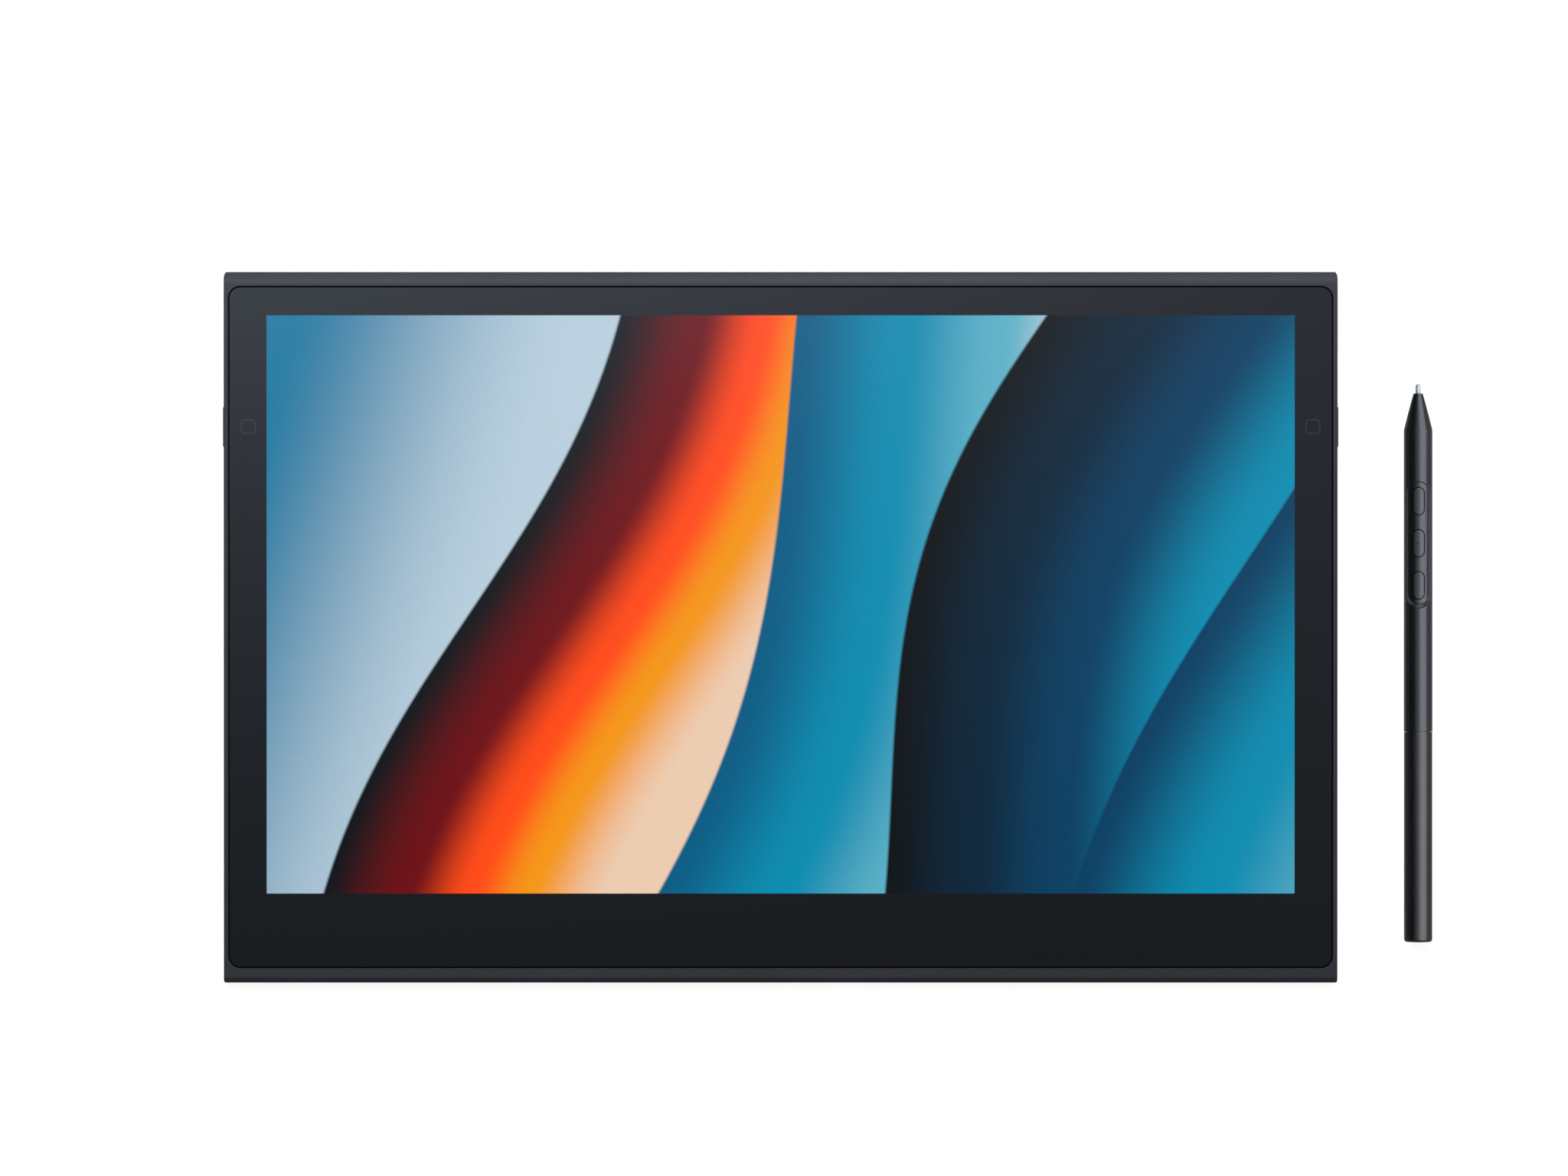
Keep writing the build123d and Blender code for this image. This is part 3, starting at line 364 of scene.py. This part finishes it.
def rolled_metal(name, colour, roughness, stretch):
    """Rolled or brushed metal: noise drawn out along one axis, in the tint, the sheen and the relief."""
    streak_shade = 0.86
    sheen_spread = 0.07
    finish = Finish(name, colour, roughness, metallic=1.0)
    streaks = finish.noise(size=0.25 * millimetre, detail=3.0, stretch=stretch)
    shaded = (*[streak_shade * value for value in colour[:3]], 1.0)
    finish.tint(streaks, shaded, colour)
    finish.sheen_range(streaks, roughness - sheen_spread, roughness + sheen_spread)
    return finish.relief(streaks, depth=0.004 * millimetre)


rolled_metal("rolled_foil", srgb(196, 198, 200), roughness=0.32, stretch=(0.03, 1, 1)).onto("shield_plate")
rolled_metal("tinned_steel", srgb(186, 187, 186), roughness=0.3, stretch=(0.08, 1, 1)).onto("shield_can")
graphite = Finish("graphite_sheet", srgb(46, 47, 50), roughness=0.42, metallic=0.5)
graphite.tint(graphite.cells(size=0.8 * millimetre), srgb(40, 41, 44), srgb(66, 67, 70))
graphite.relief(graphite.noise(size=0.4 * millimetre, detail=4.0), depth=0.01 * millimetre)
graphite.onto("heat_spreader")


# Mid frame. A thin magnesium casting that carries the glass, the display and the board.
# It is painted matt black, so that the fine gap round the glass stays dark, over a slight orange peel.
casting = Finish("black_painted_casting", srgb(14, 14, 15), roughness=0.8)
casting.give(Specular_IOR_Level=0.2)
casting.tint(casting.noise(size=18 * millimetre, detail=4.0), srgb(11, 11, 12), srgb(17, 17, 18))
casting.sheen_range(casting.noise(size=3 * millimetre), smooth=0.74, rough=0.86)
casting.relief(casting.noise(size=0.5 * millimetre, detail=3.0), depth=0.02 * millimetre).onto("mid_frame")


# Flat cables, touch-key pads and film. Amber polyimide laminated over rows of copper lines.
# The cables plug into the connectors of the main board, and the pads are glued under the glass.


def flat_cable(name, pitch):
    """Polyimide film over copper lines: a stripe every pitch across the tablet, slightly raised."""
    finish = Finish(name, srgb(150, 92, 28), roughness=0.3)
    x, _, _ = finish.axes(finish.place)
    stripe = finish.math("SINE", finish.math("MULTIPLY", x, 2 * math.pi / pitch))
    lines = finish.spread(stripe, low=-0.1, high=0.3)
    finish.tint(lines, srgb(120, 66, 16), srgb(196, 126, 52))
    return finish.relief(lines, depth=0.015 * millimetre).give(Coat_Weight=0.4)


flat_cable("polyimide_flat_cable", pitch=0.5 * millimetre).onto(
    "display_flex", "digitizer_flex", "panel_film", "touch_key_pads"
)


# Chips, connectors, switches and thermal pad on the main board. Black epoxy, pale nylon,
# nickel-plated dome covers and a soft blue silicone pad.
epoxy = Finish("black_epoxy", srgb(24, 24, 26), roughness=0.55)
epoxy.tint(epoxy.noise(size=0.6 * millimetre, detail=3.0), srgb(20, 20, 22), srgb(32, 32, 34))
epoxy.relief(epoxy.noise(size=0.08 * millimetre), depth=0.006 * millimetre)
epoxy.onto("board_chips", "pressure_sensor")
nylon = Finish("pale_nylon", srgb(214, 208, 190), roughness=0.5)
nylon.tint(nylon.noise(size=4 * millimetre), srgb(204, 198, 178), srgb(222, 217, 202))
nylon.relief(nylon.noise(size=0.1 * millimetre), depth=0.006 * millimetre).onto("board_connectors")
rolled_metal("nickel_plate", srgb(176, 174, 168), roughness=0.28, stretch=(1, 0.1, 1)).onto(
    "side_switches", "button_switches"
)
soft_pad = Finish("blue_thermal_pad", srgb(104, 138, 178), roughness=0.8)
soft_pad.tint(soft_pad.noise(size=1 * millimetre, detail=4.0), srgb(92, 124, 164), srgb(118, 150, 188))
soft_pad.relief(soft_pad.noise(size=0.4 * millimetre), depth=0.03 * millimetre).onto("thermal_pad")


# Screws. Turned steel with a black oxide skin. The board's screws hold it to the frame's bosses,
# and the cover's go into the frame from under the feet.
oxide = Finish("black_oxide_steel", srgb(70, 70, 72), roughness=0.38, metallic=0.9)
oxide.tint(oxide.noise(size=0.5 * millimetre), srgb(54, 54, 56), srgb(84, 84, 86))
oxide.relief(oxide.noise(size=0.1 * millimetre, detail=3.0, stretch=(1, 1, 0.2)), depth=0.004 * millimetre)
oxide.onto("board_screws", "cover_screws")


# Side keys, power button and light. The keys are milled from the same metal as the cover, with a finer blast.
# The light is a clear acrylic rod that the board's lamp shines through.
coated_metal("dark_key_metal", dark=srgb(46, 48, 54), light=srgb(52, 54, 60), gloss=0.45).onto(
    "side_key_left", "side_key_right", "power_button"
)
acrylic = Finish("lit_acrylic", srgb(225, 232, 238), roughness=0.15)
acrylic.give(Transmission_Weight=0.6, Emission_Color=srgb(214, 232, 255), Emission_Strength=0.7)
acrylic.relief(acrylic.noise(size=0.2 * millimetre), depth=0.003 * millimetre).onto("power_light_pipe")


# Sockets. A deep-drawn stainless shell in each side, soldered to the main board,
# and a black moulded tongue inside it.
rolled_metal("stainless_shell", srgb(188, 188, 186), roughness=0.25, stretch=(0.06, 1, 1)).onto(
    "usb_port_left", "usb_port_right"
)
liquid_polymer = Finish("black_polymer", srgb(18, 18, 20), roughness=0.4)
liquid_polymer.tint(liquid_polymer.noise(size=1 * millimetre), srgb(14, 14, 16), srgb(24, 24, 26))
liquid_polymer.relief(liquid_polymer.noise(size=0.05 * millimetre), depth=0.004 * millimetre)
liquid_polymer.onto("usb_tongues")


# Socket contacts. Stamped copper-alloy strips, plated with gold and moulded into both faces of each tongue.
# There are twelve to a face at half-millimetre pitch, and each stands slightly proud of the black polymer.
contact_count = 12
contact_pitch = 0.5 * millimetre
contact_width = 0.28 * millimetre
contact_thickness = 0.08 * millimetre
contact_length = 3.9 * millimetre
contact_setback = 0.4 * millimetre
contact_station_share = np.array([0.0, 0.03, 0.97, 1.0])
contact_girth_share = np.array([0.7, 1.0, 1.0, 0.7])
contact_sides = 12
contact_roundness = 0.5
tongue_thickness = 0.7 * millimetre


def glass_normal():
    """The direction that the leaning glass faces: the normal of its largest flat face."""
    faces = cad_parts["cover_glass"].data.polygons
    areas = np.empty(len(faces))
    normals = np.empty(3 * len(faces))
    faces.foreach_get("area", areas)
    faces.foreach_get("normal", normals)
    normal = normals.reshape(-1, 3)[areas.argmax()]
    return normal * np.sign(normal[2])


def contact_strips(tip_x, inward):
    """Strips on both faces of a tongue: a flattened ring carried along X, drawn in at its two ends.

    The ring at angle a is half a width times cos(a) and half a thickness times sin(a), each as the square
    root of its size with its sign kept. Strips repeat every pitch across the tongue, about its middle plane.
    """
    angle = (np.arange(contact_sides) + 0.5) * 2 * math.pi / contact_sides
    across = np.sign(np.cos(angle)) * np.abs(np.cos(angle)) ** contact_roundness * contact_width / 2
    upward = np.sign(np.sin(angle)) * np.abs(np.sin(angle)) ** contact_roundness * contact_thickness / 2
    girth = contact_girth_share[:, None]
    place = (np.arange(contact_count) - (contact_count - 1) / 2)[:, None, None, None] * contact_pitch
    face = np.array([-1, 1])[None, :, None, None] * tongue_thickness / 2
    along = contact_setback + contact_station_share[:, None] * contact_length
    shape = (contact_count, 2, len(girth), contact_sides)
    x = np.broadcast_to(tip_x + inward * along, shape)
    plan = np.broadcast_to(place + girth * across, shape)
    height = np.broadcast_to(face + girth * upward, shape)
    return np.stack([x, plan, height], axis=-1).reshape(-1, len(girth), contact_sides, 3)


def bar_faces(bars, stations, sides):
    """Faces of closed bars whose points are numbered by bar, by station along it and by side round it."""
    number = np.arange(bars * stations * sides).reshape(bars, stations, sides)
    turned = np.roll(number, -1, axis=2)
    walls = np.stack([number[:, :-1], turned[:, :-1], turned[:, 1:], number[:, 1:]], axis=-1).reshape(-1, 4)
    return walls.tolist() + number[:, 0].tolist() + number[:, -1, ::-1].tolist()


tongue_low, tongue_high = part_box("usb_tongues")
facing = glass_normal()
sideways = np.array([1.0, 0.0, 0.0])
strips = np.concatenate([contact_strips(tongue_low.x, inward=1), contact_strips(tongue_high.x, inward=-1)])
tongue_middle = np.array([0.0, tongue_low.y + tongue_high.y, tongue_low.z + tongue_high.z]) / 2
placed = tongue_middle + strips @ np.stack([sideways, np.cross(facing, sideways), facing])
contact_mesh = bpy.data.meshes.new("socket_contacts")
contact_mesh.from_pydata(placed.reshape(-1, 3).tolist(), [], bar_faces(*strips.shape[:3]))
turned_out = bmesh.new()
turned_out.from_mesh(contact_mesh)
bmesh.ops.recalc_face_normals(turned_out, faces=turned_out.faces)
turned_out.to_mesh(contact_mesh)
turned_out.free()
contacts = bpy.data.objects.new("socket_contacts", contact_mesh)
bpy.context.scene.collection.objects.link(contacts)
gold_plate = rolled_metal("gold_plate", srgb(222, 184, 104), roughness=0.24, stretch=(0.06, 1, 1))
contact_mesh.materials.append(gold_plate.material)
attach(contacts, "tablet")


# Feet. Long moulded rubber pads with a fine matt texture, glued into recesses of the cover.
# They hide the cover's screws.
rubber = Finish("matt_foot_rubber", srgb(26, 26, 28), roughness=0.85)
rubber.tint(rubber.noise(size=3 * millimetre, detail=3.0), srgb(22, 22, 24), srgb(34, 34, 36))
rubber.relief(rubber.cells(size=0.35 * millimetre), depth=0.03 * millimetre).onto("far_feet", "near_feet")


# Pen shells and buttons. Glass-filled nylon moulded with a fine spark-eroded texture, in near-black.
# The rear barrel is a second moulding, its grain a little coarser. The buttons sit in the panel's openings.
# How far below the panel's top the buttons' painted gap shade begins, and over what height it fades in.
button_flange_drop = 0.65 * millimetre
button_flange_fade = 0.3 * millimetre


def moulded_shell(name, dark, light, smooth, rough, grain, depth, gleam):
    """Moulded plastic: a grain of one size and depth, with a slow drift of colour and sheen."""
    finish = Finish(name, light, roughness=rough)
    finish.tint(finish.noise(size=9 * millimetre, detail=3.0), dark, light)
    finish.sheen_range(finish.noise(size=1.2 * millimetre, detail=3.0), smooth, rough)
    finish.relief(finish.noise(size=grain, detail=3.0), depth)
    return finish.give(Specular_IOR_Level=0.5, Specular_Tint=gleam)


def painted_gap_shade_below(finish, level, fade):
    """Turns a finish black and coarse below a level: painted shade deep in a gap, where only the gap shows
    the moulding.
    """
    _, _, height = finish.axes(finish.place)
    gap_shade = finish.spread(height, low=level, high=level - fade)
    colour, sheen = [finish.shader.inputs[name].links[0].from_socket for name in ("Base Color", "Roughness")]
    finish.tint(gap_shade, colour, srgb(3, 3, 3))
    return finish.give(Roughness=finish.math("MAXIMUM", sheen, gap_shade))


moulded_shell(
    "pen_front_plastic", dark=srgb(6, 7, 8), light=srgb(9, 10, 12), smooth=0.27, rough=0.32,
    grain=0.16 * millimetre, depth=0.004 * millimetre, gleam=(0.82, 0.9, 1.0, 1.0),
).onto("pen_nose_cone", "pen_front_barrel", "button_panel")
moulded_shell(
    "pen_rear_plastic", dark=srgb(6, 6, 7), light=srgb(10, 10, 12), smooth=0.28, rough=0.36,
    grain=0.3 * millimetre, depth=0.03 * millimetre, gleam=(0.94, 0.95, 1.0, 1.0),
).onto("pen_rear_barrel")
button_plastic = moulded_shell(
    "pen_button_plastic", dark=srgb(16, 17, 20), light=srgb(21, 23, 27), smooth=0.28, rough=0.34,
    grain=0.12 * millimetre, depth=0.004 * millimetre, gleam=(0.84, 0.9, 1.0, 1.0),
)
# Below this level the buttons turn near-black: painted shade in the narrow gaps round them.
button_flange_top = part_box("button_panel")[1].z - button_flange_drop
painted_gap_shade_below(button_plastic, button_flange_top, button_flange_fade).onto(
    "pen_button_front", "pen_button_middle", "pen_button_rear"
)


# Nibs. Turned from a translucent grey-white polymer. One is pushed into its holder,
# and three spares stand in the store at the sleeve's end, which the rear barrel covers.
tip = Finish("translucent_nib", srgb(136, 141, 146), roughness=0.4)
tip.give(Subsurface_Weight=0.5, Subsurface_Radius=(0.6, 0.6, 0.7), Subsurface_Scale=0.6 * millimetre)
tip.tint(tip.noise(size=0.8 * millimetre), srgb(128, 133, 138), srgb(144, 149, 154))
tip.relief(tip.noise(size=0.15 * millimetre, stretch=(1, 0.1, 1)), depth=0.004 * millimetre)
tip.onto("pen_nib", "spare_nibs")


# Pen insides. Black moulded carriers inside the two barrels, a sintered ferrite core seated
# in the nose cone, and its winding of enamelled copper wire.
carrier = Finish("carrier_plastic", srgb(18, 18, 20), roughness=0.6)
carrier.tint(carrier.noise(size=5 * millimetre), srgb(14, 14, 16), srgb(22, 22, 24))
carrier.relief(carrier.noise(size=0.15 * millimetre), depth=0.006 * millimetre)
carrier.onto("pen_chassis", "nib_holder", "pen_coupling", "nib_store")
sintered = Finish("sintered_ferrite", srgb(50, 50, 53), roughness=0.6)
sintered.tint(sintered.cells(size=0.2 * millimetre), srgb(42, 42, 45), srgb(66, 66, 70))
sintered.relief(sintered.noise(size=0.1 * millimetre, detail=4.0), depth=0.01 * millimetre)
sintered.onto("ferrite_core")
wire_pitch = 0.12 * millimetre
enamel = Finish("enamelled_copper", srgb(176, 92, 44), roughness=0.3, metallic=0.9)
_, along_pen, _ = enamel.axes(enamel.place)
turn_ridges_and_painted_shade = enamel.math("SINE", enamel.math("MULTIPLY", along_pen, 2 * math.pi / wire_pitch))
# The turns are lighter on top and darker between them: painted highlight and shade of the round wire, over
# its real ridges.
enamel.tint(enamel.spread(turn_ridges_and_painted_shade, low=-1.0, high=1.0), srgb(120, 56, 26), srgb(196, 108, 56))
enamel.relief(turn_ridges_and_painted_shade, depth=0.02 * millimetre).onto("pen_coil")


# Floor. A plain pale table that keeps the object's shadow. The camera sees it nearly white,
# and reflections see it a little lighter than the lamps alone would make it.
floor_half = 4.0
seen_glow = 0.87
reflected_glow = 0.12
white = (1.0, 1.0, 1.0, 1.0)
floor_mesh = bpy.data.meshes.new("studio_floor")
floor_corners = [
    (-floor_half, -floor_half, 0), (floor_half, -floor_half, 0),
    (floor_half, floor_half, 0), (-floor_half, floor_half, 0),
]
floor_mesh.from_pydata(floor_corners, [], [(0, 1, 2, 3)])
floor = bpy.data.objects.new("studio_floor", floor_mesh)
bpy.context.scene.collection.objects.link(floor)
table = Finish("pale_floor", srgb(170, 170, 171), roughness=0.9)
table.tint(table.noise(size=400 * millimetre), srgb(168, 168, 169), srgb(172, 172, 173))
rays = table.tree.nodes.new("ShaderNodeLightPath").outputs
reflected_rays = table.math("MAXIMUM", rays["Is Glossy Ray"], rays["Is Transmission Ray"])
table.give(
    Specular_IOR_Level=0.0,
    Emission_Color=white,
    Emission_Strength=table.math(
        "MAXIMUM",
        table.math("MULTIPLY", rays["Is Camera Ray"], seen_glow),
        table.math("MULTIPLY", reflected_rays, reflected_glow),
    ),
)
floor_mesh.materials.append(table.material)


# Surround. White for the camera and through clear pieces. Reflections see it white at the horizon and dark
# overhead, as in a studio with a black ceiling, and its dim light falls mostly from the far side.
white_above_horizon = 0.16
ceiling_grey = (0.05, 0.05, 0.05, 1.0)
near_light = (0.1, 0.1, 0.11, 1.0)
far_light = (0.42, 0.43, 0.45, 1.0)
world = bpy.data.worlds.new("studio")
bpy.context.scene.world = world
world.use_nodes = True


def surround_node(kind, **inputs):
    """A node of the surround, its inputs named with underscores for spaces and fed from sockets or values."""
    node = world.node_tree.nodes.new(kind)
    for name, value in inputs.items():
        feed(world.node_tree, node.inputs[name.replace("_", " ")], value)
    return node


path = surround_node("ShaderNodeLightPath").outputs
heading = surround_node("ShaderNodeTexCoord").outputs["Generated"]
toward = surround_node("ShaderNodeSeparateXYZ", Vector=heading).outputs
overhead = surround_node("ShaderNodeMapRange", Value=toward["Z"], From_Min=0.0, From_Max=white_above_horizon)
overhead.interpolation_type = "SMOOTHSTEP"
from_far = surround_node("ShaderNodeMapRange", Value=toward["Y"], From_Min=-1.0, From_Max=1.0)
reflected = colour_mix(world.node_tree, overhead.outputs[0], white, ceiling_grey)
ambient = colour_mix(world.node_tree, from_far.outputs[0], near_light, far_light)
lit = colour_mix(world.node_tree, path["Is Glossy Ray"], ambient, reflected)
direct = surround_node("ShaderNodeMath")
direct.operation = "MAXIMUM"
feed(world.node_tree, direct.inputs[0], path["Is Camera Ray"])
feed(world.node_tree, direct.inputs[1], path["Is Transmission Ray"])
seen = colour_mix(world.node_tree, direct.outputs[0], lit, white)
feed(world.node_tree, world.node_tree.nodes["Background"].inputs["Color"], seen)


# Lights. Five soft boxes, as in a product studio. Three light the tablet: a wide one beyond the far left
# corner whose glow spreads over the glass, a strip that lines the far edge, and a dim one on the right.
# Two light the pen from the right: one draws its long highlight, and a wide dim one softens it.


def soft_box(name, receivers, place, target, width, depth, power):
    """A rectangular lamp that faces a target and lights one collection. Its width lies level."""
    lamp = bpy.data.lights.new(name, "AREA")
    lamp.shape = "RECTANGLE"
    lamp.size = width
    lamp.size_y = depth
    lamp.energy = power
    holder = bpy.data.objects.new(name, lamp)
    holder.location = place
    ahead_x, ahead_y, ahead_z = [end - start for end, start in zip(target, place)]
    tilt = math.atan2(math.hypot(ahead_x, ahead_y), -ahead_z)
    turn = math.atan2(ahead_y, ahead_x) - math.pi / 2
    holder.rotation_euler = (tilt, 0, turn)
    holder.light_linking.receiver_collection = receivers
    bpy.context.scene.collection.objects.link(holder)


tablet_side = bpy.data.collections.new("lit_as_tablet")
pen_side = bpy.data.collections.new("lit_as_pen")
for node_name, node_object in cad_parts.items():
    on_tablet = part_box(node_name)[0].x < glass_high.x + side_border
    (tablet_side if on_tablet else pen_side).objects.link(node_object)
tablet_side.objects.link(floor)
tablet_side.objects.link(contacts)
soft_box(
    "far_left_box", tablet_side, place=(-0.10, 0.24, 0.45), target=(-0.05, 0.0, 0.0),
    width=0.6, depth=0.2, power=2.25,
)
soft_box(
    "far_strip", tablet_side, place=(0.10, 0.58, 0.30), target=(0.06, 0.1, 0.0),
    width=0.8, depth=0.08, power=1.8,
)
soft_box(
    "right_fill", tablet_side, place=(0.40, -0.01, 0.30), target=(0.10, -0.01, 0.0),
    width=0.12, depth=0.6, power=0.22,
)
soft_box(
    "pen_box", pen_side, place=(0.415, 0.08, 0.315), target=(0.169, 0.08, 0.0),
    width=1.1, depth=0.42, power=5.3,
)
soft_box(
    "pen_haze", pen_side, place=(0.344, 0.08, 0.307), target=(0.169, 0.08, 0.0),
    width=1.1, depth=0.83, power=3.2,
)


# Camera. A long lens straight above, as far off as shows the photograph's width at the level of the glass,
# centred where the photograph is.
view_centre_x = -12.51 * millimetre
view_centre_y = 11.3 * millimetre
view_width = 448.94 * millimetre
camera_data = bpy.data.cameras.new("camera")
camera_data.sensor_width = 36.0
camera_data.lens = 400.0
camera_data.clip_end = 50.0
camera_rise = view_width * camera_data.lens / camera_data.sensor_width
camera = bpy.data.objects.new("camera", camera_data)
camera.location = (view_centre_x, view_centre_y, glass_high.z + camera_rise)
bpy.context.scene.collection.objects.link(camera)
bpy.context.scene.camera = camera
bpy.context.scene.view_settings.view_transform = "Standard"
